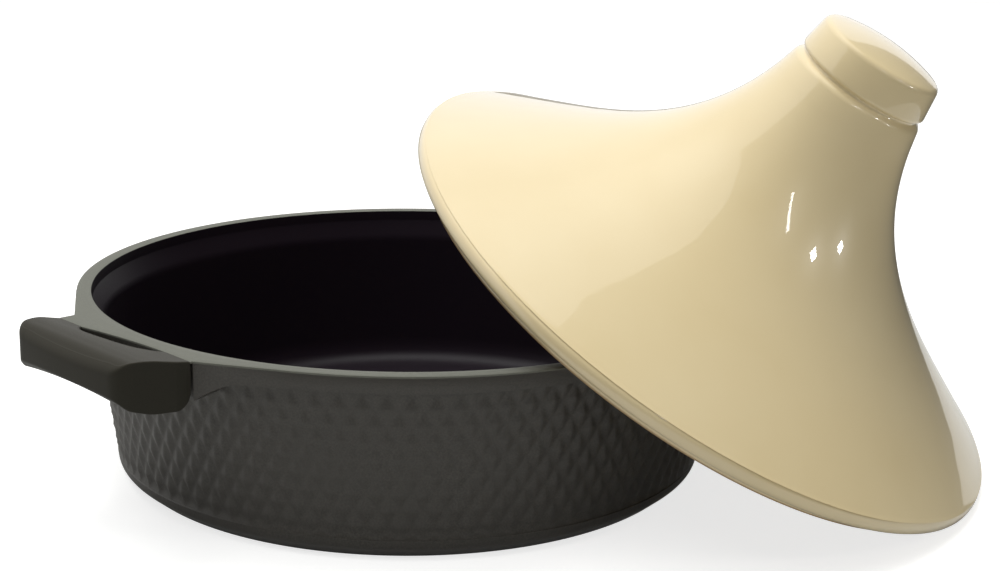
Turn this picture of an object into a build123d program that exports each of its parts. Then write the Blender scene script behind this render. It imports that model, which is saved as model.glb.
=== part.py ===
from build123d import *

import os
from math import cos, hypot, pi, radians, sin, tan

# Tagine: a cast aluminium pot with a diamond-faceted wall and two screwed-on grips, and a
# glazed stoneware lid that stands on the table and leans on the pot's rim.
# Millimetres, +Z up. The origin is the centre of the pot's base, the grips lie along X,
# and the lid leans on the pot from the -Y, +X side.

# Pot: the wall is a cone through the ridges of its facets, the rim a flat machined ring.
POT_HEIGHT = 81.0
RIM_RADIUS = 145.0
RIM_WIDTH = 6.3
RIM_EDGE = 0.8
WALL_TAPER = 8.15
WALL_THICKNESS = 4.3
FLOOR_THICKNESS = 5.5
FLOOR_CORNER = 14.0
BASE_INSET = 6.0
BASE_BEVEL_HEIGHT = 5.5
BASE_BEVEL_ROUND = 3.0
SEAT_DEPTH = 4.6
SEAT_SLOPE = 30.0

# Flare under the rim: smooth, and proud of the ridges by a step.
FLARE_HEIGHT = 8.0
FLARE_OUT = 5.9
FLARE_STEP = 0.4

# Diamond facets: low pyramids in rows, each row half a pitch along from the next. The last
# row ends inside the rim.
FACET_COUNT = 92
FACET_ROWS = 9
FACET_START = 8.15
FACET_COVER = 2.35
FACET_RELIEF = 0.9
FACET_PHASE = 0.9
FOOT_BAND_TOP = 9.2

# Cast bosses that carry the grips: two ears each, joined by a lip along the finger gap,
# with a block under each ear, and flared flanks that run into the rim.
EAR_LENGTH = 7.0
EAR_INNER = 25.0
EAR_OUTER = 42.6
LIP_LENGTH = 3.0
LIP_THICKNESS = 3.5
BLOCK_LENGTH = 12.0
BLOCK_DEPTH = 11.0
BOSS_DRAFT = 5.0
LOBE_WALL = 2.6
FLANK_INSET = 0.5
FLANK_ANGLE = 32.0
FLANK_LENGTH = 60.0

# Smooth apron round each boss: its lower edge dips under the grip and rises to the flare.
APRON_DROP = 6.0
APRON_DIP = 16.0
APRON_HALF_WIDTH = 42.0
APRON_POINTS = 12

# Grips: heat-proof plastic, a bar with a lobe round each ear.
GRIP_OUT = 24.2
GRIP_CROWN = 1.6
GRIP_END_TAPER = 4.6
GRIP_CORNER = 9.0
GRIP_SHOULDER_OUT = 11.0
GRIP_SHOULDER_ROUND = 15.0
GRIP_RISE = 3.2
GRIP_TOP_WIDTH = 7.5
GRIP_TOP_ROUND = 4.5
GRIP_EDGE_DROP = 1.0
GRIP_OUTER_DROP = 11.0
GRIP_DEPTH = 17.8
GRIP_BAR_LIFT = 2.5
GRIP_BEVEL = 4.6
GRIP_LOBE_ROUND = 5.0
GRIP_PARTING = 0.6
FINGER_BOW = 4.0
GRIP_CLEARANCE = 0.3

# Grip screws: pan heads in counterbores under the lobes, threaded up into the blocks.
SCREW_RADIUS = 2.0
SCREW_THREAD_DEPTH = 6.5
SCREW_TIP_ROOM = 1.0
SCREW_HEAD_RADIUS = 4.0
SCREW_HEAD_HEIGHT = 2.6
SCREW_RECESS = 3.4
SCREW_INSET = 4.6
SCREW_CLEARANCE = 0.05
SCREW_HEAD_CLEARANCE = 0.3
SOCKET_RADIUS = 1.5
SOCKET_DEPTH = 1.4

# Lid: heights are above the bead's lower face, which sits on the pot's rim.
LID_BEAD_INSET = 1.15
LID_BEAD_HEIGHT = 6.2
LID_BEAD_ROUND = 2.5
LID_FOOT_WIDTH = 11.8
LID_FOOT_DROP = 3.7
LID_FOOT_ROUND = 1.0
LID_SEAT_CLEARANCE = 0.8
LID_CREASE_INSET = 1.9
LID_CREASE_RISE = 0.8
LID_WALL = 6.0
LID_FLARE_START_ANGLE = 29.2
LID_FLARE_START_PULL = 63.1
LID_FLARE_END_ANGLE = 12.1
LID_FLARE_END_PULL = 60.0
SHOULDER_RADIUS = 30.4
SHOULDER_HEIGHT = 116.4
SHOULDER_ROUND = 1.0
GROOVE_DEPTH = 2.4
GROOVE_HEIGHT = 2.0
GROOVE_WIDTH = 1.0
KNOB_INSET = 0.7
KNOB_TAPER = 2.3
KNOB_HEIGHT = 14.1
KNOB_DOME = 4.2
KNOB_ROUND = 2.0
HOLLOW_RISE = 9.6
HOLLOW_TOP_PULL = 12.0

# How the lid leans: its foot on the table, its foot's inner edge on the pot's rim.
LEAN_TILT = 32.34
LEAN_AZIMUTH = -63.65
LEAN_SIDE_OFFSET = 31.4
LEAN_GAP = 0.3
LEAN_SAMPLES = 1440
LEAN_TOLERANCE = 0.001

# Sizes that follow from the ones above.
SEAT_RADIUS = RIM_RADIUS - RIM_WIDTH
RIM_FLAT_BOTTOM = POT_HEIGHT - RIM_EDGE
FLARE_BOTTOM = RIM_FLAT_BOTTOM - FLARE_HEIGHT
FLARE_FOOT_RADIUS = RIM_RADIUS - FLARE_OUT
WALL_FOOT_RADIUS = FLARE_FOOT_RADIUS - FLARE_STEP - FLARE_BOTTOM * tan(radians(WALL_TAPER))
BASE_RADIUS = WALL_FOOT_RADIUS - BASE_INSET
FACET_ROW_PITCH = (POT_HEIGHT - FACET_COVER - FACET_START) / (FACET_ROWS + 1)
EAR_REACH = RIM_RADIUS + EAR_LENGTH
LIP_REACH = RIM_RADIUS + LIP_LENGTH
FLANK_REACH = RIM_RADIUS - FLANK_INSET
LIP_BOTTOM = POT_HEIGHT - LIP_THICKNESS
BLOCK_REACH = RIM_RADIUS + BLOCK_LENGTH
BLOCK_OUTER = EAR_OUTER - LOBE_WALL
BLOCK_BOTTOM = POT_HEIGHT - BLOCK_DEPTH
APRON_TOP = POT_HEIGHT - APRON_DROP
GRIP_REACH = EAR_REACH + GRIP_OUT
GRIP_SHOULDER = EAR_REACH + GRIP_SHOULDER_OUT
GRIP_INNER_END = FLANK_REACH + GRIP_PARTING
GRIP_OUTER_HALF = EAR_OUTER - GRIP_END_TAPER
GRIP_LOBE_BOTTOM = POT_HEIGHT - GRIP_DEPTH
BAR_INNER = EAR_REACH + FINGER_BOW
SCREW_REACH = BLOCK_REACH - SCREW_INSET
SCREW_SPREAD = (EAR_INNER + BLOCK_OUTER) / 2
LID_BEAD_RADIUS = RIM_RADIUS - LID_BEAD_INSET
LID_FOOT_RADIUS = SEAT_RADIUS - LID_SEAT_CLEARANCE
LID_FOOT_INNER = LID_FOOT_RADIUS - LID_FOOT_WIDTH
GROOVE_RADIUS = SHOULDER_RADIUS - GROOVE_DEPTH
KNOB_RADIUS = SHOULDER_RADIUS - KNOB_INSET
KNOB_TOP_RADIUS = KNOB_RADIUS - KNOB_TAPER
HOLLOW_TOP = SHOULDER_HEIGHT + HOLLOW_RISE
KEEP_OUT = 2 * RIM_RADIUS


def ridge_radius(z):
    """Radius of the wall at the ridges of its facets."""
    return WALL_FOOT_RADIUS + z * tan(radians(WALL_TAPER))


def turned(face):
    """Solid of revolution from a face drawn as radius and height."""
    return revolve(Plane.XZ * face, Axis.Z)


def rounded(face, corner, radius):
    """The face with one corner, the one nearest to the point, rounded."""
    nearest = min(face.vertices(), key=lambda v: (Vector(v) - Vector(corner)).length)
    return fillet(nearest, radius)


def mirrored_pair(solid):
    """The solid at the +X side and its copy turned half round, at the -X side."""
    return [solid, Rot(0, 0, 180) * solid]


def foot_disc():
    """Bottom of the pot: flat base, bevelled and rounded up into the wall."""
    bevel_corner = (ridge_radius(BASE_BEVEL_HEIGHT), BASE_BEVEL_HEIGHT)
    top_corner = (ridge_radius(FOOT_BAND_TOP), FOOT_BAND_TOP)
    top_inner = (top_corner[0] - 2 * FACET_RELIEF, FOOT_BAND_TOP + FACET_RELIEF)
    outline = Polyline((0, 0), (BASE_RADIUS, 0), bevel_corner, top_corner, top_inner,
                       (0, top_inner[1]), close=True)
    return turned(rounded(make_face(outline), bevel_corner, BASE_BEVEL_ROUND))


def flared_face(reach, low):
    """Half section of a disc whose side curves out of the wall's slope to its reach at the rim."""
    foot = (ridge_radius(low) + FLARE_STEP, low)
    edge = (reach, RIM_FLAT_BOTTOM)
    slope = (sin(radians(WALL_TAPER)), cos(radians(WALL_TAPER)))
    flare = TangentArc(foot, edge, tangent=slope)
    rest = Polyline(edge, (reach, POT_HEIGHT), (0, POT_HEIGHT), (0, low), foot)
    return make_face([flare, rest])


def rim_disc():
    """Rim and the flare under it."""
    face = flared_face(RIM_RADIUS, FLARE_BOTTOM)
    return turned(rounded(face, (RIM_RADIUS, POT_HEIGHT), RIM_EDGE / 2))


def lattice_point(column, row):
    """Point of the faceted skin: apexes and valleys take turns along each row and column."""
    z = FACET_START + row * FACET_ROW_PITCH
    apex = (column + row) % 2 == 0 and row > 0
    radius = ridge_radius(z) - (0 if apex else FACET_RELIEF)
    angle = pi * column / FACET_COUNT + radians(FACET_PHASE + 180 / FACET_COUNT)
    return Vector(radius * cos(angle), radius * sin(angle), z)


def facet_drum():
    """Solid drum whose side is a lattice of four-sided pyramids."""
    columns = 2 * FACET_COUNT
    top_row = FACET_ROWS + 1
    faces = []
    for row in range(top_row):
        for column in range(columns):
            low = [lattice_point(column, row), lattice_point(column + 1, row)]
            high = [lattice_point(column, row + 1), lattice_point(column + 1, row + 1)]
            if (column + row) % 2 == 0:
                triangles = [(low[0], low[1], high[0]), (low[1], high[1], high[0])]
            else:
                triangles = [(low[0], low[1], high[1]), (low[0], high[1], high[0])]
            faces += [Face(Wire.make_polygon(corners, close=True)) for corners in triangles]
    for row in (0, top_row):
        ring = [lattice_point(column, row) for column in range(columns)]
        faces.append(Face(Wire.make_polygon(ring, close=True)))
    return Solid(Shell(faces))


def apron_edge(y):
    """Height of the apron's lower edge at a distance y from the middle of a grip."""
    return APRON_TOP - APRON_DIP / (1 + (y / APRON_HALF_WIDTH) ** 4)


def apron_room():
    """Everything above the apron's lower edge, right through the pot along X."""
    half = KEEP_OUT / 2
    steps = [half * (k / APRON_POINTS) ** 2 for k in range(APRON_POINTS, 0, -1)]
    ys = [-y for y in steps] + [0] + steps[::-1]
    edge = Spline([(y, apron_edge(y)) for y in ys])
    high = 2 * POT_HEIGHT
    sides = Polyline((half, apron_edge(half)), (half, high), (-half, high), (-half, apron_edge(half)))
    return extrude(Plane.YZ * make_face([edge, sides]), KEEP_OUT, both=True)


def half_plan(reach, half_width):
    """Rectangle from the pot's axis out to a reach, the same width to both sides."""
    return Rectangle(reach, 2 * half_width, align=(Align.MIN, Align.CENTER))


def lip_hollow(spread=0.0):
    """Room outside the lip, between the two ears of a boss."""
    reach, lip, inner = EAR_REACH + spread, LIP_REACH + spread, EAR_INNER - spread
    edge = ThreePointArc((reach, -inner), (lip, 0), (reach, inner))
    sides = Polyline((reach, inner), (KEEP_OUT, inner), (KEEP_OUT, -inner), (reach, -inner))
    return extrude(make_face([edge, sides]), 2 * POT_HEIGHT)


def flank_plan(spread=0.0):
    """Plan of a boss up to the grip, with the flanks that run into the rim."""
    turn = radians(FLANK_ANGLE)
    corner = (FLANK_REACH + spread, EAR_OUTER + spread)
    end = (corner[0] - FLANK_LENGTH * sin(turn), corner[1] + FLANK_LENGTH * cos(turn))
    outline = Polyline((0, -end[1]), (end[0], -end[1]), (corner[0], -corner[1]), corner, end,
                       (0, end[1]), close=True)
    return make_face(outline)


def ear_plate(spread=0.0):
    """Thin machined top of a boss, flush with the rim, out to the ends of the grip."""
    plan = flank_plan(spread) + half_plan(EAR_REACH + spread, EAR_OUTER + spread)
    plate = extrude(Pos(0, 0, RIM_FLAT_BOTTOM - spread) * plan, RIM_EDGE + 2 * spread)
    return plate - lip_hollow(spread)


def ear_blocks(spread=0.0):
    """Lip under the plate and, under it, the drafted blocks that the lobes of the grip enclose."""
    outer, inner = BLOCK_OUTER + spread, EAR_INNER - spread
    low, high = LIP_BOTTOM - spread, LIP_BOTTOM + spread
    lip = extrude(Pos(0, 0, low) * half_plan(EAR_REACH - LOBE_WALL + spread, outer), RIM_FLAT_BOTTOM - low)
    blocks = extrude(Pos(0, 0, high) * half_plan(BLOCK_REACH + spread, outer),
                     high - BLOCK_BOTTOM + spread, dir=(0, 0, -1), taper=BOSS_DRAFT)
    between = extrude(half_plan(KEEP_OUT, inner), high)
    return lip + (blocks - between) - lip_hollow(spread)


def flanks():
    """Flared sides of a boss, from its ears into the rim, above the apron's edge."""
    low = apron_edge(EAR_OUTER)
    room = extrude(Pos(0, 0, low) * flank_plan(), RIM_FLAT_BOTTOM - low)
    flared = turned(flared_face(hypot(FLANK_REACH, EAR_OUTER), low))
    between = extrude(half_plan(KEEP_OUT, EAR_INNER), POT_HEIGHT)
    return room & flared & apron_room() - between


def cavity():
    """Inside of the pot: floor, rounded corner, wall, and the wider seat for the lid."""
    seat_bottom = POT_HEIGHT - SEAT_DEPTH
    wall_low = (ridge_radius(FLOOR_THICKNESS) - WALL_THICKNESS, FLOOR_THICKNESS)
    inner_taper, seat_slope = tan(radians(WALL_TAPER)), tan(radians(SEAT_SLOPE))
    wide = SEAT_RADIUS - (ridge_radius(seat_bottom) - WALL_THICKNESS)
    drop = wide / (seat_slope - inner_taper)
    wall_high = (SEAT_RADIUS - drop * seat_slope, seat_bottom - drop)
    outline = Polyline((0, FLOOR_THICKNESS), wall_low, wall_high, (SEAT_RADIUS, seat_bottom),
                       (SEAT_RADIUS, POT_HEIGHT), (0, POT_HEIGHT), close=True)
    return turned(rounded(make_face(outline), wall_low, FLOOR_CORNER))


def screw_places():
    """Plan positions of the two screws of the +X grip."""
    return [(SCREW_REACH, -SCREW_SPREAD), (SCREW_REACH, SCREW_SPREAD)]


def screw_seat():
    """Height of the shoulder in the lobe that a screw's head bears on."""
    return GRIP_LOBE_BOTTOM + SCREW_RECESS


def standing_rod(place, radius, low, high):
    """Upright cylinder at a plan position, from one height to another."""
    rod = Cylinder(radius, high - low, align=(Align.CENTER, Align.CENTER, Align.MIN))
    return Pos(place[0], place[1], low) * rod


def pot_body():
    """Cast pot: faceted drum, foot, rim, bosses, less the inside and the threads."""
    body = facet_drum() + foot_disc() + rim_disc()
    for cast in (flanks(), ear_blocks(), ear_plate()):
        for solid in mirrored_pair(cast):
            body = body + solid
    body = body - cavity()
    radius, top = SCREW_RADIUS + SCREW_CLEARANCE, BLOCK_BOTTOM + SCREW_THREAD_DEPTH
    threads = [standing_rod(place, radius, screw_seat(), top) for place in screw_places()]
    for pair in mirrored_pair(Compound(threads)):
        body = body - pair
    return body


def grip_section():
    """Section of a grip across its bar, drawn as reach from the pot's axis and height."""
    top = POT_HEIGHT + GRIP_RISE
    ridge = GRIP_SHOULDER + GRIP_TOP_WIDTH
    outer_low = POT_HEIGHT - GRIP_OUTER_DROP
    bottom = GRIP_LOBE_BOTTOM
    corners = [(GRIP_INNER_END, POT_HEIGHT), (EAR_REACH + GRIP_CLEARANCE, POT_HEIGHT), (GRIP_SHOULDER, top),
               (ridge, top), (GRIP_REACH, POT_HEIGHT - GRIP_EDGE_DROP), (GRIP_REACH, outer_low),
               (GRIP_REACH - GRIP_BEVEL, bottom), (GRIP_INNER_END, bottom)]
    face = make_face(Polyline(*corners, close=True))
    face = rounded(face, corners[2], GRIP_SHOULDER_ROUND)
    face = rounded(face, corners[3], GRIP_TOP_ROUND)
    face = rounded(face, corners[4], GRIP_TOP_ROUND)
    face = rounded(face, corners[5], GRIP_BEVEL / 2)
    face = rounded(face, corners[6], GRIP_BEVEL)
    return rounded(face, corners[7], GRIP_LOBE_ROUND)


def grip_plan():
    """Plan of a grip without the finger gap: tapering ends and a crowned outer side."""
    side = GRIP_REACH - GRIP_CROWN
    ends = Polyline((side, -GRIP_OUTER_HALF), (EAR_REACH, -EAR_OUTER), (0, -EAR_OUTER),
                    (0, EAR_OUTER), (EAR_REACH, EAR_OUTER), (side, GRIP_OUTER_HALF))
    crown = ThreePointArc((side, -GRIP_OUTER_HALF), (GRIP_REACH, 0), (side, GRIP_OUTER_HALF))
    face = make_face([ends, crown])
    for corner in ((side, -GRIP_OUTER_HALF), (side, GRIP_OUTER_HALF)):
        face = rounded(face, corner, GRIP_CORNER)
    return face


def grip_front():
    """Front outline of a grip: lobes hang lower than the middle of the bar."""
    half, high = EAR_OUTER, POT_HEIGHT + 2 * GRIP_RISE
    low = GRIP_LOBE_BOTTOM
    under = ThreePointArc((-half, low), (0, low + GRIP_BAR_LIFT), (half, low))
    return make_face([under, Polyline((half, low), (half, high), (-half, high), (-half, low))])


def finger_gap():
    """Room for the fingers between the two lobes, from the pot to the bar."""
    inner = EAR_INNER
    bow = ThreePointArc((EAR_REACH, -inner), (BAR_INNER, 0), (EAR_REACH, inner))
    plan = make_face([bow, Polyline((EAR_REACH, inner), (0, inner), (0, -inner), (EAR_REACH, -inner))])
    return extrude(plan, KEEP_OUT)


def grip():
    """The +X grip: bar and lobes, pocketed round the ears and bored for the screws."""
    length, height = 2 * EAR_OUTER, 2 * POT_HEIGHT
    body = extrude(Plane.XZ * grip_section(), length, both=True)
    body = body & extrude(grip_plan(), height)
    body = body & extrude(Plane.YZ * grip_front(), KEEP_OUT)
    body = body - finger_gap()
    body = body - ear_plate(GRIP_CLEARANCE) - ear_blocks(GRIP_CLEARANCE)
    for place in screw_places():
        body = body - standing_rod(place, SCREW_RADIUS + SCREW_CLEARANCE, 0, BLOCK_BOTTOM)
        body = body - standing_rod(place, SCREW_HEAD_RADIUS + SCREW_HEAD_CLEARANCE, 0, screw_seat())
    return body


def screw(place):
    """Pan-head screw with a hexagon socket, head down, shank up into the ear."""
    seat = screw_seat()
    tip = BLOCK_BOTTOM + SCREW_THREAD_DEPTH - SCREW_TIP_ROOM
    head = standing_rod(place, SCREW_HEAD_RADIUS, seat - SCREW_HEAD_HEIGHT, seat)
    head = fillet(head.edges().group_by(Axis.Z)[0], SCREW_HEAD_HEIGHT / 2)
    socket = extrude(RegularPolygon(SOCKET_RADIUS, 6), SOCKET_DEPTH)
    shank = standing_rod(place, SCREW_RADIUS, seat, tip)
    return head + shank - Pos(place[0], place[1], seat - SCREW_HEAD_HEIGHT) * socket


def flare_curve(inset):
    """Flare of the lid as a Bezier curve, moved into the wall by the inset."""
    start_turn, end_turn = radians(LID_FLARE_START_ANGLE), radians(LID_FLARE_END_ANGLE)
    stretch = inset * (pi / 2 - start_turn - end_turn) / 3
    start = Vector(LID_BEAD_RADIUS - LID_CREASE_INSET, LID_BEAD_HEIGHT + LID_CREASE_RISE)
    start = start - Vector(sin(start_turn), cos(start_turn)) * inset
    end = Vector(SHOULDER_RADIUS, SHOULDER_HEIGHT) - Vector(cos(end_turn), sin(end_turn)) * inset
    leave = start + Vector(-cos(start_turn), sin(start_turn)) * (LID_FLARE_START_PULL + stretch)
    arrive = end + Vector(sin(end_turn), -cos(end_turn)) * (LID_FLARE_END_PULL + stretch)
    return Bezier(start, leave, arrive, end)


def hollow_face():
    """Half section of the room under the lid: the flare's inside, a domed top and the foot's ring."""
    inner = flare_curve(LID_WALL)
    low = -2 * LID_FOOT_DROP
    end = inner @ 1
    aim = end + (inner % 1) * (HOLLOW_TOP - end.Y) / 2
    crown = Bezier(end, aim, (HOLLOW_TOP_PULL, HOLLOW_TOP), (0, HOLLOW_TOP))
    sides = Polyline((0, HOLLOW_TOP), (0, low), ((inner @ 0).X, low), inner @ 0)
    ring = Rectangle(LID_FOOT_INNER, HOLLOW_TOP - low, align=(Align.MIN, Align.MIN))
    return make_face([inner, crown, sides]) & Pos(0, low) * ring


def lid_face():
    """Half section of the lid: foot, bead, flare, shoulder, groove, knob and hollow."""
    flare = flare_curve(0)
    knob_low = SHOULDER_HEIGHT + GROOVE_HEIGHT + 2 * GROOVE_WIDTH
    knob_corner = (KNOB_RADIUS, knob_low)
    knob_edge = (KNOB_TOP_RADIUS, knob_low + KNOB_HEIGHT)
    knob_top = (0, knob_edge[1] + KNOB_DOME)
    foot = (LID_FOOT_RADIUS, -LID_FOOT_DROP)
    bead_low, bead_high = (LID_BEAD_RADIUS, 0), (LID_BEAD_RADIUS, LID_BEAD_HEIGHT)
    rim = Polyline(knob_top, (0, foot[1]), foot, (LID_FOOT_RADIUS, 0), bead_low, bead_high, flare @ 0)
    groove_low = (GROOVE_RADIUS, SHOULDER_HEIGHT + GROOVE_HEIGHT)
    groove_high = (GROOVE_RADIUS, groove_low[1] + GROOVE_WIDTH)
    neck = Polyline(flare @ 1, groove_low, groove_high, knob_corner, knob_edge)
    dome = TangentArc(knob_top, knob_edge, tangent=(1, 0))
    face = make_face([rim, flare, neck, dome])
    face = rounded(face, foot, LID_FOOT_ROUND)
    face = rounded(face, bead_low, LID_BEAD_ROUND)
    face = rounded(face, bead_high, LID_BEAD_ROUND)
    face = rounded(face, flare @ 1, SHOULDER_ROUND)
    face = rounded(face, knob_corner, SHOULDER_ROUND)
    return rounded(face, knob_edge, KNOB_ROUND) - hollow_face()


def lean_height():
    """Height of the bead's face at the lid's axis when the tilted lid stands on the table."""
    tilt = radians(LEAN_TILT)

    def reach(radius, height, edge):
        return (radius - edge) * sin(tilt) - (height + edge) * cos(tilt) + edge

    foot = reach(LID_FOOT_RADIUS, -LID_FOOT_DROP, LID_FOOT_ROUND)
    bead = reach(LID_BEAD_RADIUS, 0, LID_BEAD_ROUND)
    return max(foot, bead)


def lean_clearance(distance):
    """Least gap between the foot's inner edge and the pot's rim, at a distance from the pot's axis."""
    tilt = radians(LEAN_TILT)
    gaps = []
    for k in range(LEAN_SAMPLES):
        turn = 2 * pi * k / LEAN_SAMPLES
        along, up = LID_FOOT_INNER * cos(turn), LID_FOOT_INNER * sin(turn)
        side = LEAN_SIDE_OFFSET + along
        out = distance - up * cos(tilt) - LID_FOOT_DROP * sin(tilt)
        height = lean_height() + up * sin(tilt) - LID_FOOT_DROP * cos(tilt)
        gaps.append(hypot(max(hypot(side, out) - RIM_RADIUS, 0), max(height - POT_HEIGHT, 0)))
    return min(gaps)


def lean_distance():
    """Distance of the leaning lid from the pot's axis that leaves the stated gap, by halving."""
    near, far = 0.0, 2 * RIM_RADIUS
    while far - near > LEAN_TOLERANCE:
        middle = (near + far) / 2
        if lean_clearance(middle) > LEAN_GAP:
            far = middle
        else:
            near = middle
    return far


def lid():
    """Lid in the place where it leans on the pot."""
    place = Rot(0, 0, LEAN_AZIMUTH) * Pos(lean_distance(), LEAN_SIDE_OFFSET, lean_height())
    return place * Rot(0, LEAN_TILT, 0) * turned(lid_face())


def write(name, solid):
    """One STEP file for one sub-part."""
    export_step(solid, f"parts/{name}.step")


def main():
    os.makedirs("parts", exist_ok=True)
    write("pot_body", pot_body())
    write("lid", lid())
    for side, shape in zip(("right", "left"), mirrored_pair(grip())):
        write(f"{side}_grip", shape)
    for end, place in zip(("front", "back"), screw_places()):
        for side, shape in zip(("right", "left"), mirrored_pair(screw(place))):
            write(f"{side}_{end}_screw", shape)


main()
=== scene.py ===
import bpy
import numpy as np
from bpy.props import FloatProperty, FloatVectorProperty, IntProperty, PointerProperty
from mathutils import Matrix, Vector


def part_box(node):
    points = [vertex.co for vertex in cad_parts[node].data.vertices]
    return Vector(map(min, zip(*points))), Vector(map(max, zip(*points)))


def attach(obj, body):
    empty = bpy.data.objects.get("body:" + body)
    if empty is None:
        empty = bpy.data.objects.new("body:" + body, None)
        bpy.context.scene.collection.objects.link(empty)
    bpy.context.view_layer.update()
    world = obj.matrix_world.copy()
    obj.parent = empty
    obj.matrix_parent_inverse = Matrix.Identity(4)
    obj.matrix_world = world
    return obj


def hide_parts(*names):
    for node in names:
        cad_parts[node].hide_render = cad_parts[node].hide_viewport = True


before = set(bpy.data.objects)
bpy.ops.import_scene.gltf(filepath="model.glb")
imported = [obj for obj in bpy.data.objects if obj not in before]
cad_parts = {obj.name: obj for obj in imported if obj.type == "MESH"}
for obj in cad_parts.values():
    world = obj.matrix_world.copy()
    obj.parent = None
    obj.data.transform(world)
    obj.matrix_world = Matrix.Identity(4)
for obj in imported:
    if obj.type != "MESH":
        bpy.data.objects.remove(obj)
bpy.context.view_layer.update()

bl_info = {
    "name": "Tagine",
    "version": (1, 0, 0),
    "blender": (4, 5, 0),
    "location": "View3D > Sidebar > Tagine",
    "description": "Cast pot with a faceted wall and a leaning stoneware lid",
    "category": "Add Mesh",
}


def colour(text):
    """Linear RGBA of an sRGB hex colour."""
    srgb = np.array([int(text[k:k + 2], 16) for k in (1, 3, 5)]) / 255
    linear = np.where(srgb > 0.04045, ((srgb + 0.055) / 1.055) ** 2.4, srgb / 12.92)
    return (*linear.tolist(), 1.0)


def length(label, note, metres):
    """Property for one length."""
    return FloatProperty(name=label, description=note, default=metres, unit="LENGTH", precision=5)


def angle(label, note, degrees):
    """Property for one angle."""
    return FloatProperty(name=label, description=note, default=np.radians(degrees), subtype="ANGLE")


def paint(label, note, text):
    """Property for one colour, whose default is an sRGB hex value."""
    return FloatVectorProperty(name=label, description=note, default=colour(text)[:3],
                               subtype="COLOR", min=0.0, max=1.0)


def point(label, note, metres):
    """Property for one place."""
    return FloatVectorProperty(name=label, description=note, default=metres, subtype="TRANSLATION")


def direction(label, note, vector):
    """Property for one direction."""
    return FloatVectorProperty(name=label, description=note, default=vector, subtype="DIRECTION")


def power(label, note, watts):
    """Property for the power of a lamp."""
    return FloatProperty(name=label, description=note, default=watts, unit="POWER")


def strength(label, note, share):
    """Property for a strength of light, where 1 shows as white."""
    return FloatProperty(name=label, description=note, default=share, min=0.0)


class PotSettings(bpy.types.PropertyGroup):
    height: length("Height", "Table to the top of the rim", 0.081)
    rim_radius: length("Rim radius", "Outer radius of the rim", 0.145)
    seat_radius: length("Seat radius", "Inner radius of the rim, which the lid's foot drops into", 0.1387)
    seat_depth: length("Seat depth", "Depth of the upright seat under the rim", 0.0046)
    seat_slope: angle("Seat slope", "Slope of the wall under the seat, from upright", 30.0)
    rim_edge: length("Rim edge", "Height of the rim's upright edge, and of the ears' tops", 0.0008)
    foot_radius: length("Wall radius at the table", "Radius of the ridges if carried to the table", 0.1285)
    taper: angle("Wall taper", "Lean of the wall from upright", 8.15)
    wall: length("Wall thickness", "From the ridges to the inside", 0.0043)
    floor: length("Floor thickness", "Thickness of the bottom", 0.0055)
    floor_corner: length("Floor corner", "Reach of the curve from the floor to the wall", 0.0121)
    base_radius: length("Base radius", "Radius of the flat base", 0.1225)
    bevel_height: length("Bevel height", "Height of the bevel round the base", 0.0055)
    band_top: length("Band top", "Height of the smooth band under the facets", 0.0092)
    facets: IntProperty(name="Facets", description="Facets in one row round the wall", default=92, min=12)
    facet_rows: IntProperty(name="Facet rows", description="Rows of the facet lattice", default=10, min=2)
    facet_start: length("Facet start", "Height of the lattice's first row", 0.00815)
    facet_pitch: length("Facet pitch", "Height between rows", 0.00705)
    facet_relief: length("Facet relief", "Depth of the valleys between ridges", 0.0013)
    facet_phase: angle("Facet phase", "Turn of the lattice from the grips' line", 0.9)
    flare_height: length("Flare height", "Height of the smooth flare under the rim", 0.008)
    flare_step: length("Flare step", "How far the flare's foot stands proud of the ridges", 0.001)
    ear_reach: length("Ear reach", "Middle reach of the ears' edges", 0.1485)
    ear_skew: length("Ear skew", "How far the two ears' edges differ from it, one out and one in", 0.0029)
    ear_inner: length("Ear inner side", "Half the space between the two ears", 0.0255)
    ear_outer: length("Ear outer side", "Half the width over the two ears", 0.0426)
    lip_hollow: length("Lip hollow", "How far the lip between the ears is hollowed", 0.0011)
    lip_depth: length("Lip depth", "Thickness of the lip between the ears", 0.0035)
    flank_reach: length("Flank reach", "Where each flank of a boss starts, beside the grip's end", 0.1445)
    apron_top: length("Apron top", "Height that the lower edge of the smooth apron rises to", 0.075)
    apron_dip: length("Apron dip", "How far that edge dips under the grip", 0.0286)
    apron_half: length("Apron half width", "Where the edge has come up half way", 0.0382)
    flank_draft: length("Flank draft", "How far the flank draws in to its foot beside the grip", 0.0002)
    flank_angle: angle("Flank angle", "Direction that the flank faces, from the grips' line", 32.0)
    outside: paint("Outside", "Coating on the outside", "#3F3C37")
    inside: paint("Inside", "Non-stick lining", "#1A141A")
    rim: paint("Rim", "Machined rim and ear tops", "#75766D")


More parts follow.
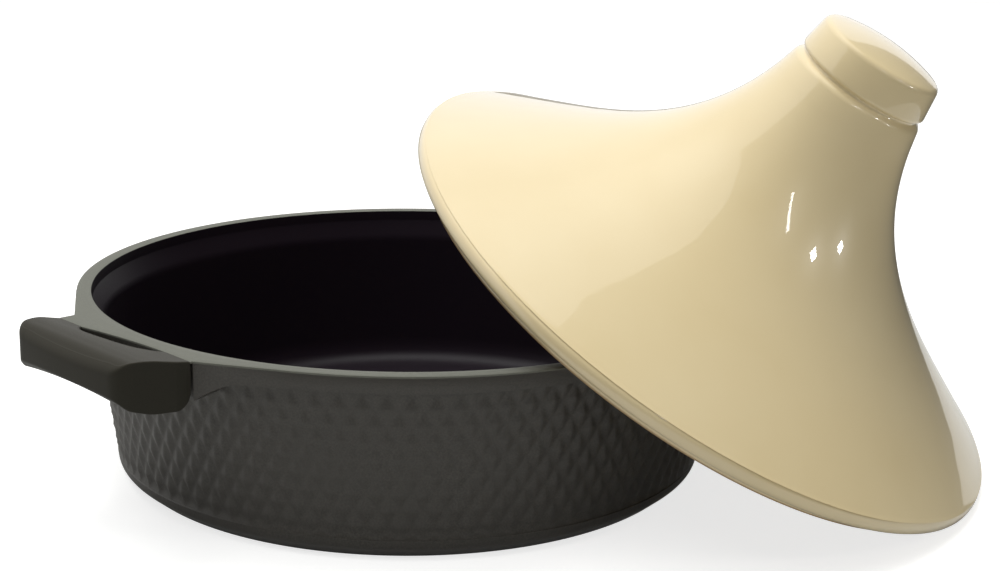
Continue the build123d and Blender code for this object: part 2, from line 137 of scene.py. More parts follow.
class GripSettings(bpy.types.PropertyGroup):
    inner_end: length("Inner end", "Where the lobes end beside the pot's flank", 0.1456)
    reach: length("Reach", "Outer face of the bar, from the pot's axis", 0.1762)
    crown: length("Crown", "How far the outer face bows out in the middle", 0.0016)
    half_length: length("Half length", "Half the grip's length at the ears", 0.0426)
    outer_half: length("Outer half length", "Half the grip's length at its outer face", 0.038)
    taper_start: length("Taper start", "Where the ends start to draw in", 0.152)
    corner: length("Corner", "Reach of the round between an end and the outer face", 0.0073)
    rise: length("Rise", "How far the top of the bar stands above the rim", 0.0032)
    shoulder: length("Shoulder", "Where the rising top turns level", 0.163)
    ridge: length("Ridge", "Where the level top turns down", 0.1705)
    edge_drop: length("Edge drop", "How far the outer edge stands under the rim's height", 0.001)
    bottom: length("Lobe bottom", "Height of the lobes' lower faces", 0.0622)
    bar_lift: length("Bar lift", "How far the bar's underside arches in the middle", 0.0035)
    flat_end: length("Flat end", "Where the underside starts to rise", 0.1615)
    bevel_start: length("Bevel start", "Where the underside turns up into the bevel", 0.1707)
    bevel_low: length("Bevel low", "Rise of the underside up to the bevel", 0.0027)
    bevel_high: length("Bevel high", "Rise of the underside up to the outer face", 0.0085)
    lobe_round: length("Lobe round", "Round at the lobes' lower inner ends", 0.0065)
    bar_inner: length("Bar inner face", "Inner face of the bar in the middle, from the axis", 0.1561)
    plastic: paint("Plastic", "Heat-proof moulding", "#35332C")


class LidSettings(bpy.types.PropertyGroup):
    tilt: angle("Tilt", "How far the leaning lid is turned from level", 32.34)
    azimuth: angle("Azimuth", "Direction of the lid from the pot, from the grips' line", -63.65)
    bead_radius: length("Bead radius", "Outer radius of the bead", 0.14385)
    bead_height: length("Bead height", "Height of the bead", 0.0062)
    bead_round: length("Bead round", "Reach of the bead's rounded edges", 0.0027)
    foot_radius: length("Foot radius", "Outer radius of the foot that drops into the seat", 0.1379)
    foot_inner: length("Foot inner radius", "Inner radius of the foot", 0.1261)
    foot_drop: length("Foot drop", "How far the foot hangs under the bead", 0.0037)
    crease_inset: length("Crease inset", "How far the flare starts inside the bead", 0.0019)
    crease_rise: length("Crease rise", "How far the flare starts above the bead", 0.0008)
    wall: length("Wall", "Thickness of the lid", 0.006)
    flare_start: angle("Flare start", "Slope of the flare at the bead", 29.2)
    flare_start_pull: length("Flare start pull", "How far the flare keeps its slope at the bead", 0.0631)
    flare_end: angle("Flare end", "Slope of the neck, from upright", 12.1)
    flare_end_pull: length("Flare end pull", "How far the neck keeps its slope", 0.060)
    shoulder_radius: length("Shoulder radius", "Radius of the shoulder under the knob", 0.0304)
    shoulder_height: length("Shoulder height", "Height of the shoulder above the bead", 0.1164)
    groove_radius: length("Groove radius", "Radius in the groove under the knob", 0.028)
    groove_height: length("Groove height", "Height from the shoulder to the groove", 0.002)
    groove_width: length("Groove width", "Height of the groove", 0.001)
    knob_radius: length("Knob radius", "Radius at the foot of the knob", 0.0297)
    knob_top_radius: length("Knob top radius", "Radius at the top edge of the knob", 0.0274)
    knob_height: length("Knob height", "Height of the knob's side", 0.0141)
    knob_dome: length("Knob dome", "Rise of the knob's top", 0.0042)
    hollow_top: length("Hollow top", "Height of the room under the lid", 0.126)
    glaze: paint("Glaze", "Cream glaze", "#E8D7AE")
    body: paint("Body", "Fired clay at the bare foot", "#BFA27A")


class StageSettings(bpy.types.PropertyGroup):
    camera_place: point("Camera", "Place of the camera", (-0.5378, -0.6297, 0.2957))
    camera_aim: direction("Aim", "Direction that the camera looks in", (0.6628, 0.7044, -0.2539))
    camera_up: direction("Up", "Direction that is up in the picture", (0.1618, 0.1964, 0.9671))
    lens: FloatProperty(name="Lens", description="Focal length in millimetres", default=69.28)
    floor: paint("Floor", "Pale floor", "#C6C6C3")
    floor_lift: strength("Floor lift", "How far the floor is lifted towards white for the camera", 0.75)
    floor_gloss: strength("Floor in gloss", "How far the floor is lifted towards white in reflections", 0.1)
    ambient: strength("Ambient", "Strength of the light from all round", 0.12)
    screen: strength("Screen", "Brightness of the dark screen in reflections", 0.07)
    key: power("Key lamp", "Power of the soft lamp at the back", 11.5)
    side: power("Side lamp", "Power of the soft lamp on the left", 13.0)
    top: power("Top lamp", "Power of the soft lamp overhead", 29.0)
    spark: power("Spark lamps", "Power of each small lamp seen in the glaze", 0.5)
    soft_distance: length("Soft distance", "Distance of each soft lamp from the middle of the set", 2.0)
    soft_size: length("Soft size", "Width and height of each soft lamp", 1.2)
    spark_distance: length("Spark distance", "Distance of each small lamp from the middle of the set", 1.2)
    middle: point("Middle", "Middle of the set, which the lamps face", (0.03, -0.05, 0.09))


# Shapes: every surface is a grid of points, rows by columns, worked out as whole arrays.

def soft_path(corners, reaches, steps=8):
    """Straight runs from corner to corner. Each inner corner is a parabola that starts its reach before the
    corner and ends as far after it."""
    corners = np.asarray(corners, float)
    t = np.linspace(0, 1, steps)[:, None]
    parts = [corners[:1]]
    for before, at, after, reach in zip(corners, corners[1:], corners[2:], reaches):
        first = at + reach * (before - at) / np.linalg.norm(before - at)
        last = at + reach * (after - at) / np.linalg.norm(after - at)
        parts.append((1 - t) ** 2 * first + 2 * t * (1 - t) * at + t ** 2 * last)
    return np.vstack(parts + [corners[-1:]])


def evenly(path, count):
    """The path again with its points an equal distance apart along it."""
    run = np.concatenate([[0], np.cumsum(np.linalg.norm(np.diff(path, axis=0), axis=1))])
    at = np.linspace(0, run[-1], count)
    return np.stack([np.interp(at, run, path[:, k]) for k in range(path.shape[1])], axis=1)


def bezier(start, leave, arrive, end, count):
    """Cubic curve from start to end that leaves and arrives along the two middle points."""
    t = np.linspace(0, 1, count)[:, None]
    return ((1 - t) ** 3 * start + 3 * t * (1 - t) ** 2 * leave
            + 3 * t ** 2 * (1 - t) * arrive + t ** 3 * end)


def turned(radius, z, theta):
    """Points at each radius and height, rows by columns, turned to each column's angle."""
    radius, z = np.broadcast_arrays(radius, z, np.zeros((1, len(theta))))[:2]
    return np.stack([radius * np.cos(theta), radius * np.sin(theta), z], axis=-1)


def closed_piece(name, points, materials, row_material=None, ring=False, *, crease):
    """Mesh object from a grid whose columns close on themselves. Its rows close too where it is a ring, and
    otherwise each end row is closed by a fan to its middle. Faces are turned so that they enclose a
    positive volume, which points them outwards. Edges bent by more than the crease, in degrees, are drawn
    sharp."""
    rows, columns = points.shape[:2]
    number = np.arange(rows * columns).reshape(rows, columns)
    low = number if ring else number[:-1]
    high = np.roll(number, -1, axis=0) if ring else number[1:]
    quads = np.stack([low, np.roll(low, -1, 1), np.roll(high, -1, 1), high], axis=-1).reshape(-1, 4)
    vertices = points.reshape(-1, 3)
    slots = np.repeat(np.zeros(len(low), int) if row_material is None else row_material[:len(low)], columns)
    fans = np.zeros((0, 3), int)
    if not ring:
        poles = points[[0, -1]].mean(axis=1)
        first, last = len(vertices), len(vertices) + 1
        vertices = np.vstack([vertices, poles])
        start, end = number[0], number[-1]
        fans = np.vstack([np.stack([np.roll(start, -1), start, np.full(columns, first)], axis=1),
                          np.stack([end, np.roll(end, -1), np.full(columns, last)], axis=1)])
        slots = np.concatenate([slots, np.repeat([slots[0], slots[-1]], columns)])
    a, b, c, d = (vertices[quads[:, k]] for k in range(4))
    volume = np.einsum("ij,ij->", a, np.cross(b, c)) + np.einsum("ij,ij->", a, np.cross(c, d))
    if len(fans):
        e, f, g = (vertices[fans[:, k]] for k in range(3))
        volume += np.einsum("ij,ij->", e, np.cross(f, g))
    if volume < 0:
        quads, fans = quads[:, ::-1], fans[:, ::-1]
    mesh = bpy.data.meshes.new(name)
    mesh.from_pydata(vertices.tolist(), [], quads.tolist() + fans.tolist())
    for material in materials:
        mesh.materials.append(material)
    mesh.polygons.foreach_set("material_index", slots.astype(np.int32))
    mesh.shade_smooth()
    mesh.set_sharp_from_angle(angle=np.radians(crease))
    mesh.update()
    return add_object(name, mesh)


def add_object(name, data):
    """Object for a mesh, lamp or camera, in the scene."""
    made = bpy.data.objects.new(name, data)
    bpy.context.scene.collection.objects.link(made)
    return made


def ridge_radius(pot, z):
    """Radius of the wall at the ridges of its facets: a cone."""
    return pot.foot_radius + z * np.tan(pot.taper)


def facet_height(pot, theta, z):
    """Share of the relief, about 0 in the valleys and 1 at the apexes of the four-sided pyramids. Along
    each diagonal of the lattice it falls as a triangle wave, the arc cosine of a cosine. The cosine is
    slightly short, which softens the edges as a casting's are. The larger of the two falls, as the root of
    a sum of high powers, gives the facet. Below the lattice's first row the share is 0."""
    short, high = 0.996, 24  # amplitude of the cosine, and the power
    around = (theta - pot.facet_phase) * pot.facets / np.pi - 1
    up = (z - pot.facet_start) / pot.facet_pitch
    p, q = around + up, around - up
    falls = [np.arccos(short * np.cos(np.pi * x)) / np.pi for x in (p, q)]
    height = 1 - (falls[0] ** high + falls[1] ** high) ** (1 / high)
    row = np.round(p / 2) - np.round(q / 2)
    return np.where(row > 0.5, height, 0.0)


def pot_shell(pot):
    """Inside, faceted outside and foot of the pot in one closed skin, turned about the axis. Its section
    starts in the middle of the floor, and goes up the inside to the seat, down the facets and back under
    the base. Its top edge is inside the rim, where the facet rows keep outside the seat. The relief grows
    from its least share to all of it over the first part of a row, as the facets rise from the smooth
    band."""
    per_facet, per_row = 10, 5  # columns in a facet, and rows of points in a row of the lattice
    hub, ring = 0.002, 0.06  # radii of the rows within the flat floor and the flat base
    tuck, tuck_rise = 0.0002, 0.0018  # top edge, behind the seat's face and above the seat's foot
    seat_margin, seat_clear = 0.001, 0.0003  # from so far under the seat, facets keep so far behind it
    fade_rows, least_share = 0.6, 0.15  # part of a row over which the relief grows, and its least share
    step_in, step_up = 0.0003, 0.0002  # small step from the facets to the smooth band
    inner_rounds = [0.001, pot.floor_corner, 0.002, 0.0002]
    foot_rounds = [0.0002, 0.0017, 0.0008, 0.001]
    base_rows = 9  # rows of bare metal, from the end of the round at the base's edge

    theta = pot.facet_phase + 2 * np.pi * np.arange(pot.facets * per_facet) / (pot.facets * per_facet)
    lean, slope = np.tan(pot.taper), np.tan(pot.seat_slope)
    seat_bottom = pot.height - pot.seat_depth
    wall_low = (ridge_radius(pot, pot.floor) - pot.wall, pot.floor)
    drop = (pot.seat_radius - ridge_radius(pot, seat_bottom) + pot.wall) / (slope - lean)
    wall_high = (pot.seat_radius - drop * slope, seat_bottom - drop)
    inner = soft_path([(hub, pot.floor), (ring, pot.floor), wall_low, wall_high,
                       (pot.seat_radius, seat_bottom), (pot.seat_radius + tuck, seat_bottom + tuck_rise)],
                      inner_rounds, steps=7)

    z_facets = pot.facet_start + pot.facet_pitch * np.arange(per_row * pot.facet_rows, 0, -1) / per_row
    share = facet_height(pot, theta[None, :], z_facets[:, None])
    fade = np.clip((z_facets - pot.facet_start) / (fade_rows * pot.facet_pitch), least_share, 1)[:, None]
    facets = ridge_radius(pot, z_facets)[:, None] - pot.facet_relief * (1 - share) * fade
    inside_rim = (z_facets > seat_bottom - seat_margin)[:, None]
    facets = np.where(inside_rim, np.maximum(facets, pot.seat_radius + seat_clear), facets)

    band = (ridge_radius(pot, pot.band_top), pot.band_top)
    bevel = (ridge_radius(pot, pot.bevel_height), pot.bevel_height)
    foot = soft_path([(band[0] - step_in, band[1] + step_up), band, bevel, (pot.base_radius, 0), (ring, 0),
                      (hub, 0)], foot_rounds, steps=6)
    radius = np.vstack([np.broadcast_to(inner[:, :1], (len(inner), len(theta))), facets,
                        np.broadcast_to(foot[:, :1], (len(foot), len(theta)))])
    z = np.concatenate([inner[:, 1], z_facets, foot[:, 1]])[:, None]
    outside_rows = len(z_facets) + len(foot) + 1 - base_rows
    zones = np.repeat([1, 0, 2], [len(inner) - 1, outside_rows, base_rows])
    return closed_piece("pot_shell", turned(radius, z, theta),
                        [coated_casting(pot), lining(pot), turned_base(pot)], zones, crease=50.0)


def plan_radius(turn, corners):
    """Radius at each angle of a plan made of straight sides: where the ray meets the side between two
    corners."""
    corners = np.asarray(corners)
    k = np.clip(np.searchsorted(np.arctan2(corners[:, 1], corners[:, 0]), turn), 1, len(corners) - 1)
    a, side = corners[k - 1], corners[k] - corners[k - 1]
    offset = a[:, 0] * side[:, 1] - a[:, 1] * side[:, 0]
    return offset / (np.cos(turn) * side[:, 1] - np.sin(turn) * side[:, 0])


def ear_edge(pot, across):
    """Reach of a boss's metal at a distance across from its middle: straight along the two ears, one
    further out than the other, and a shallow parabola along the lip between them."""
    share = np.clip(across / pot.ear_inner, -1, 1)
    return pot.ear_reach - pot.ear_skew * share - pot.lip_hollow * (1 - share ** 2)


def flank_corners(pot):
    """Corners of a boss in plan under its ears, from the grips' line round the grip's end and along the
    flank to where it runs into the rim."""
    corner = np.array([pot.flank_reach, pot.ear_outer])
    facing = np.array([np.cos(pot.flank_angle), np.sin(pot.flank_angle)])
    return np.array([(pot.flank_reach, 0), corner, facing * (corner @ facing)])


def pot_rim(pot):
    """Rim, flare, ears and lip in one closed ring. Each column's section goes up the seat, out along the
    flat top, down the edge and the side to the apron's edge, and back inside the wall. That edge dips at
    each grip, by the dip over 1 plus a power of the distance across in half widths. The side is a parabola
    that starts along the wall's slope. Beside a grip its foot is moved out under the flank, less the
    flank's draft. Between the ears only the lip stands out from the side, and it ends flat underneath."""
    corner_gap, column_step = 0.03, 0.5  # degrees, beside a corner of the plan and elsewhere
    hair = 1e-5  # keeps the columns at the ear's inner side with the lip
    apron_power, lip_points, side_rows = 6, 12, 15
    soft, lip_draft, tuck = 0.0004, 0.0002, 0.0018  # edges' round, lip's draft, last row inside the wall
    near = 0.3 * soft  # middle of a round
    seat_rows, machined_rows = 2, 7  # rows that are lining, and then bare metal

    flank = flank_corners(pot)
    y = np.append(np.linspace(0, pot.ear_inner, lip_points), pot.ear_outer)
    plates = [np.vstack([np.stack([ear_edge(pot, end * y), y], axis=1), flank[1:]]) for end in (1, -1)]
    marks = np.concatenate([np.arctan2(c[-4:-1, 1], c[-4:-1, 0]) for c in plates])
    marks = (marks[:, None] + np.radians([-corner_gap, 0.0, corner_gap])).ravel()
    quarter = np.concatenate([marks, np.radians(np.arange(0, 90, column_step))])
    all_round = np.concatenate([quarter, np.pi - quarter, np.pi + quarter, -quarter])
    theta = np.unique(np.round(all_round % (2 * np.pi), 7))
    turn = np.arctan2(np.abs(np.sin(theta)), np.abs(np.cos(theta)))
    far = turn > np.arctan2(flank[-1, 1], flank[-1, 0])
    first_ear = np.sin(theta) * np.cos(theta) > 0
    out = np.where(first_ear, plan_radius(turn, plates[0]), plan_radius(turn, plates[1]))
    top = np.where(far, pot.rim_radius, np.maximum(pot.rim_radius, out))
    lip = ~far & (out * np.sin(turn) < pot.ear_inner + hair)
    boss = np.maximum(pot.rim_radius, plan_radius(turn, flank))
    side_top = np.where(far | lip, pot.rim_radius, boss)

    edge_low = pot.height - pot.rim_edge
    flare_low = edge_low - pot.flare_height
    across = np.maximum(side_top * np.sin(turn), pot.ear_outer)
    dipped = pot.apron_top - pot.apron_dip / (1 + (across / pot.apron_half) ** apron_power)
    low = np.minimum(flare_low, dipped)
    under = np.where(lip, pot.height - pot.lip_depth, edge_low)
    steep = np.clip((flank[-1, 1] - across) / (flank[-1, 1] - pot.ear_outer), 0, 1)
    foot = ridge_radius(pot, low) + pot.flare_step
    foot = foot + steep * np.maximum(side_top - pot.flank_draft - foot, 0)

    def wall_side(z):
        t = np.clip((z - low) / (edge_low - low), 0, 1)
        start = np.clip(np.tan(pot.taper) * (edge_low - low) / (side_top - foot), 0, 1)
        return foot + (side_top - foot) * (start * t + (1 - start) * t ** 2)

    flat = top - pot.seat_radius - 2 * soft
    rows = [(pot.seat_radius, pot.height - pot.seat_depth), (pot.seat_radius, pot.height - soft),
            (pot.seat_radius + near, pot.height - near), (pot.seat_radius + soft, pot.height)]
    rows += [(pot.seat_radius + soft + flat * f, pot.height) for f in (0.33, 0.67, 1)]
    rows += [(top - near, pot.height - near), (top, pot.height - soft), (top, edge_low)]
    rows.append((np.where(lip, top - lip_draft, side_top), under))
    for f in np.linspace(0, 1, side_rows):
        z = under + (low - under) * f
        rows.append((wall_side(z), z))
    rows.append((ridge_radius(pot, low) - tuck, low))
    radius = np.stack([np.broadcast_to(r, theta.shape) for r, _ in rows])
    z = np.stack([np.broadcast_to(h, theta.shape) for _, h in rows])
    zones = np.repeat([1, 2, 0], [seat_rows, machined_rows, len(rows) - seat_rows - machined_rows])
    return closed_piece("pot_rim", turned(radius, z, theta),
                        [coated_casting(pot), lining(pot), machined_rim(pot)], zones, ring=True,
                        crease=30.0)


def grip_half(grip, pot, end):
    """Outer and inner outline of half a grip, station by station: along the lobe from its inner end, round
    the corner as a fan about the end of the finger gap, and along the bar to its middle. The outer face
    bows out as a parabola, and the bar's inner face as a fourth power."""
    arm_points, fan_points, bar_points = 6, 44, 26
    face_points, face_join = 40, 12  # points on the bowed face, and the one that the corner runs into
    ear_gap, taper_round = 0.00015, 0.0003  # between ear and lobe, and the round where the taper starts
    fine_points = 400  # points along the outline that the fan's stations are taken from

    join = ear_edge(pot, end * pot.ear_outer) + ear_gap
    arm = np.linspace(grip.inner_end, join, arm_points)
    crown_y = np.linspace(grip.outer_half, 0, face_points)
    crown = np.stack([grip.reach - grip.crown * (crown_y / grip.outer_half) ** 2, crown_y], axis=1)
    bent = soft_path([(join, grip.half_length), (grip.taper_start, grip.half_length),
                      (grip.reach - grip.crown, grip.outer_half), tuple(crown[face_join])],
                     [taper_round, grip.corner], steps=14)
    outline = evenly(np.vstack([bent[:-1], crown[face_join + 1:]]), fine_points)
    split = int(np.argmin(np.abs(outline[:, 1] - pot.ear_inner)))
    fan = evenly(outline[:split + 1], fan_points)
    y = np.linspace(pot.ear_inner, 0, bar_points)
    bar = np.stack([np.interp(y, outline[::-1, 1], outline[::-1, 0]), y], axis=1)
    share = y / pot.ear_inner
    bow = pot.ear_reach - end * pot.ear_skew * share + (grip.bar_inner - pot.ear_reach) * (1 - share ** 4)
    outer = np.vstack([np.stack([arm, np.full_like(arm, grip.half_length)], axis=1), fan, bar[1:]])
    inner = np.vstack([np.stack([arm, np.full_like(arm, pot.ear_inner)], axis=1),
                       np.broadcast_to((join, pot.ear_inner), fan.shape), np.stack([bow, y], axis=1)[1:]])
    return outer, inner


def grip_piece(grip, pot, name, turn):
    """One grip. At each station a closed section runs from the inner outline to the outer one: along the
    top, whose height depends on the reach, down the outer face, back along the underside with its bevel,
    and up the inner face. Each edge of the section is a parabola. The one along the top of the outer face
    tightens towards the grip's two ends."""
    profile_start = 0.14  # reach inside all of the grip, where both profiles start
    crest_end, crest_fall = 0.002, 0.0015  # how far the top's profile goes on past the face, and falls
    belly_end = 0.001  # how far the underside's profile goes on past it
    crest_rounds = [0.0005, 0.003, 0.0022, 0.0001]
    belly_rounds = [0.003, 0.0009, 0.0001]
    hair = 0.0001  # the lobes' tops keep so far under the ears, and step up so far outside them
    end_start, end_run = 0.030, 0.009  # where along the grip the outer edge tightens, and over how far
    wide_edge, edge_loss = 0.0026, 0.0017  # its round in the middle, and what that loses at the ends
    soft, hem, hem_step = 0.0009, 0.0009, 0.0002  # rounds of inner and lower outer edges, and a step
    flat_points = 48

    (outer, inner), (far_outer, far_inner) = grip_half(grip, pot, 1), grip_half(grip, pot, -1)
    flip = np.array([1, -1])
    outer = np.vstack([outer, far_outer[-2::-1] * flip])
    inner = np.vstack([inner, far_inner[-2::-1] * flip])
    level = grip.shoulder - grip.taper_start
    raised, dropped = pot.height + grip.rise, pot.height - grip.edge_drop
    crest = soft_path([(profile_start, pot.height), (grip.taper_start, pot.height), (grip.shoulder, raised),
                       (grip.ridge, raised), (grip.reach, dropped),
                       (grip.reach + crest_end, dropped - crest_fall)], crest_rounds)
    belly = soft_path([(profile_start, 0), (grip.flat_end, 0), (grip.bevel_start, grip.bevel_low),
                       (grip.reach, grip.bevel_high), (grip.reach + belly_end, grip.bevel_high)],
                      belly_rounds)
    wide = np.linalg.norm(outer - inner, axis=1)[:, None]

    def place(w):
        return inner[:, None, :] + (outer - inner)[:, None, :] * (w / wide)[:, :, None]

    def top(w):
        reach, across = place(w)[:, :, 0], place(w)[:, :, 1]
        start = pot.ear_reach - pot.ear_skew * np.clip(across / pot.ear_inner, -1, 1)
        rising = grip.shoulder - (grip.shoulder - reach) * level / (grip.shoulder - start)
        height = np.interp(np.where(reach < grip.shoulder, rising, reach), crest[:, 0], crest[:, 1])
        return np.where(reach < start + hair, pot.height - pot.rim_edge - hair, height)

    def under(w):
        reach, across = place(w)[:, :, 0], place(w)[:, :, 1]
        lift = np.interp(reach, belly[:, 0], belly[:, 1])
        arch = grip.bar_lift * (1 - (across / grip.half_length) ** 2) * (1 - lift / grip.bevel_high)
        short = np.clip(1 - (reach - grip.inner_end) / grip.lobe_round, 0, 1)
        return grip.bottom + lift + arch + grip.lobe_round * (1 - np.sqrt(1 - short ** 2))

    def bend(first, at, last, steps=7):
        t = np.linspace(0, 1, steps)[None, :]
        return [(1 - t) ** 2 * a + 2 * t * (1 - t) * b + t ** 2 * c for a, b, c in zip(first, at, last)]

    ends = np.clip((np.abs(outer[:, 1:]) - end_start) / end_run, 0, 1)
    ends = ends * ends * (3 - 2 * ends)
    edge = wide_edge - edge_loss * ends
    zero = np.zeros_like(wide)
    f = np.linspace(0, 1, flat_points)[None, :]
    w = soft + (wide - soft - edge) * f
    loops = [(w, top(w)),
             bend((wide - edge, top(wide - edge)), (wide, top(wide)), (wide, top(wide) - edge)),
             bend((wide, under(wide) + hem), (wide, under(wide)), (wide - hem, under(wide - hem)), 5)]
    w = (wide - hem - hem_step) + (soft + hem + hem_step - wide) * f
    loops.append((w, under(w)))
    loops.append(bend((zero + soft, under(zero + soft)), (zero, under(zero)), (zero, under(zero) + soft)))
    loops.append(bend((zero, top(zero) - soft), (zero, top(zero)), (zero + soft, top(zero + soft))))
    w = np.concatenate([loop[0] for loop in loops], axis=1)
    z = np.concatenate([loop[1] for loop in loops], axis=1)
    points = np.concatenate([place(w), z[:, :, None]], axis=2)
    points[:, :, :2] *= turn
    return closed_piece(name, points, [moulded_phenolic(grip)], crease=38.0)


def lid_piece(lid):
    """Lid: half section turned about the lid's axis, tilted, and set where the solid lid's box is. From the
    top the section runs over the dome, down the knob, through the groove, over the shoulder, along the
    flare (a cubic curve), round the bead and the foot, and back up inside along the same curve moved in by
    the wall."""
    columns, flare_points, inner_points, dome_points, crown_points = 360, 110, 46, 12, 12
    dome_hub = 0.04  # first row of the dome, as a share of its radius
    crown_hub, crown_pull = 0.0012, 0.012  # radii of the hollow's last row, and of what pulls it level
    neck_join = 4  # point of the flare that the shoulder runs into
    foot_clear = 0.0015  # the inside starts so far within the foot
    bare_share = 0.4  # share of the foot's drop that the glaze covers
    knob_rounds = [0.0022, 0.0013, 0.0004, 0.0004, 0.0014]
    bead_rounds = [0.0012, lid.bead_round, lid.bead_round, 0.0004, 0.0009, 0.0012, 0.001]

    start = np.array([lid.bead_radius - lid.crease_inset, lid.bead_height + lid.crease_rise])
    end = np.array([lid.shoulder_radius, lid.shoulder_height])
    away = np.array([-np.cos(lid.flare_start), np.sin(lid.flare_start)])
    toward = np.array([np.sin(lid.flare_end), -np.cos(lid.flare_end)])
    flare = bezier(end, end + toward * lid.flare_end_pull, start + away * lid.flare_start_pull, start,
                   flare_points)
    inward = [np.array([-np.cos(lid.flare_end), -np.sin(lid.flare_end)]),
              np.array([-np.sin(lid.flare_start), -np.cos(lid.flare_start)])]
    stretch = lid.wall * (np.pi / 2 - lid.flare_start - lid.flare_end) / 3
    inner_end, inner_start = end + inward[0] * lid.wall, start + inward[1] * lid.wall
    inner = bezier(inner_start, inner_start + away * (lid.flare_start_pull + stretch),
                   inner_end + toward * (lid.flare_end_pull + stretch), inner_end, inner_points)

    low = lid.shoulder_height + lid.groove_height
    knob_low = low + 2 * lid.groove_width
    knob_high = knob_low + lid.knob_height
    x = np.linspace(dome_hub, 1, dome_points)[:, None]
    dome = np.hstack([lid.knob_top_radius * x, knob_high + lid.knob_dome * (1 - x ** 2)])
    knob = soft_path([dome[-2], (lid.knob_top_radius, knob_high), (lid.knob_radius, knob_low),
                      (lid.groove_radius, low + lid.groove_width), (lid.groove_radius, low), end,
                      flare[neck_join]], knob_rounds, steps=7)
    bead = soft_path([flare[-2], start, (lid.bead_radius, lid.bead_height), (lid.bead_radius, 0),
                      (lid.foot_radius, 0), (lid.foot_radius, -lid.foot_drop),
                      (lid.foot_inner, -lid.foot_drop), (lid.foot_inner, lid.foot_drop), inner[1]],
                     bead_rounds, steps=6)
    inside = inner[inner[:, 0] < lid.foot_inner - foot_clear]
    crown = bezier(inner_end, inner_end - toward * (lid.hollow_top - inner_end[1]) / 2,
                   np.array([crown_pull, lid.hollow_top]), np.array([crown_hub, lid.hollow_top]),
                   crown_points)
    section = np.vstack([dome[:-2], knob[1:-1], flare[neck_join + 2:-2], bead[1:-2], inside[:-1], crown])
    bare = (section[:, 1] < -bare_share * lid.foot_drop).astype(int)

    theta = np.arange(columns) * 2 * np.pi / columns
    points = turned(section[:, :1], section[:, 1:], theta)
    made = closed_piece("glazed_lid", points, [cream_glaze(lid), bare_stoneware(lid)], bare, crease=50.0)
    lean = Matrix.Rotation(lid.azimuth, 4, "Z") @ Matrix.Rotation(lid.tilt, 4, "Y")
    made.data.transform(lean)
    co = np.empty(len(made.data.vertices) * 3)
    made.data.vertices.foreach_get("co", co)
    co = co.reshape(-1, 3)
    cad_low, cad_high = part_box("lid")
    shift = (np.array(cad_low) + np.array(cad_high)) / 2 - (co.min(0) + co.max(0)) / 2
    made.data.transform(Matrix.Translation(shift.tolist()))
    return made


# Materials: the scales of the patterns are worked out from sizes in millimetres.

def node(tree, kind, inputs=None, **settings):
    """Adds a node, sets its fields, and sets or links its inputs."""
    made = tree.nodes.new(kind)
    for field, value in settings.items():
        setattr(made, field, value)
    for socket, value in (inputs or {}).items():
        if isinstance(value, bpy.types.NodeSocket):
            tree.links.new(value, made.inputs[socket])
        else:
            made.inputs[socket].default_value = value
    return made


def new_material(name):
    """Empty material with its shader and the object coordinates: (material, tree, shader, coordinates)."""
    made = bpy.data.materials.get(name) or bpy.data.materials.new(name)
    made.use_nodes = True
    tree = made.node_tree
    tree.nodes.clear()
    shader = node(tree, "ShaderNodeBsdfPrincipled")
    node(tree, "ShaderNodeOutputMaterial", {"Surface": shader.outputs[0]})
    place = node(tree, "ShaderNodeTexCoord").outputs["Object"]
    return made, tree, shader, place


def set_inputs(shader, values):
    """Sets plain values on the shader's sockets."""
    for socket, value in values.items():
        shader.inputs[socket].default_value = value


def per_metre(millimetres):
    """Pattern scale whose features are about this wide."""
    return 1000.0 / millimetres


def scaled(tone, share):
    """RGBA of a linear colour made lighter or darker by a share."""
    return tuple(c * share for c in tone) + (1.0,)


def noise(tree, place, millimetres, detail=2.0):
    """Noise pattern whose features are about this wide."""
    inputs = {"Vector": place, "Scale": per_metre(millimetres), "Detail": detail}
    return node(tree, "ShaderNodeTexNoise", inputs).outputs["Fac"]


def axis_distance(tree, place):
    """Distance from the pot's axis, in metres."""
    flat = node(tree, "ShaderNodeVectorMath", {0: place, 1: (1.0, 1.0, 0.0)}, operation="MULTIPLY")
    return node(tree, "ShaderNodeVectorMath", {0: flat.outputs[0]}, operation="LENGTH").outputs["Value"]


def mix_colour(tree, shader, share, first, second):
    """Base colour that goes from the first colour to the second as the share goes from 0 to 1."""
    tone = node(tree, "ShaderNodeMix", {0: share, 6: first, 7: second}, data_type="RGBA")
    tree.links.new(tone.outputs[2], shader.inputs["Base Color"])


def vary_roughness(tree, shader, share, low, high):
    """Roughness that goes from low to high as the share goes from 0 to 1."""
    rough = node(tree, "ShaderNodeMapRange", {0: share, 3: low, 4: high})
    tree.links.new(rough.outputs[0], shader.inputs["Roughness"])


def add_bump(tree, shader, height, strong, millimetres, socket="Normal"):
    """Bump of the given strength from a pattern whose full height is this many millimetres."""
    inputs = {"Strength": strong, "Distance": millimetres / 1000, "Height": height}
    bump = node(tree, "ShaderNodeBump", inputs)
    tree.links.new(bump.outputs[0], shader.inputs[socket])


def coated_casting(pot):
    """Cast aluminium under a baked mineral-grey non-stick coating: a satin skin whose sprayed droplets,
    drawn about 0.8 mm wide so that they show, break up the light, with faint cloudy unevenness."""
    made, tree, shader, place = new_material("coated_casting")
    speck = noise(tree, place, 0.8)
    cloud = noise(tree, place, 25)
    grain = node(tree, "ShaderNodeValToRGB", {"Fac": speck})
    dark, light = grain.color_ramp.elements
    dark.position, dark.color = 0.35, scaled(pot.outside, 0.72)
    light.position, light.color = 0.68, scaled(pot.outside, 1.45)
    mix_colour(tree, shader, cloud, grain.outputs[0], (*pot.outside, 1.0))
    set_inputs(shader, {"Specular IOR Level": 0.5})
    vary_roughness(tree, shader, speck, 0.38, 0.52)
    add_bump(tree, shader, speck, 0.35, 0.2)
    return made


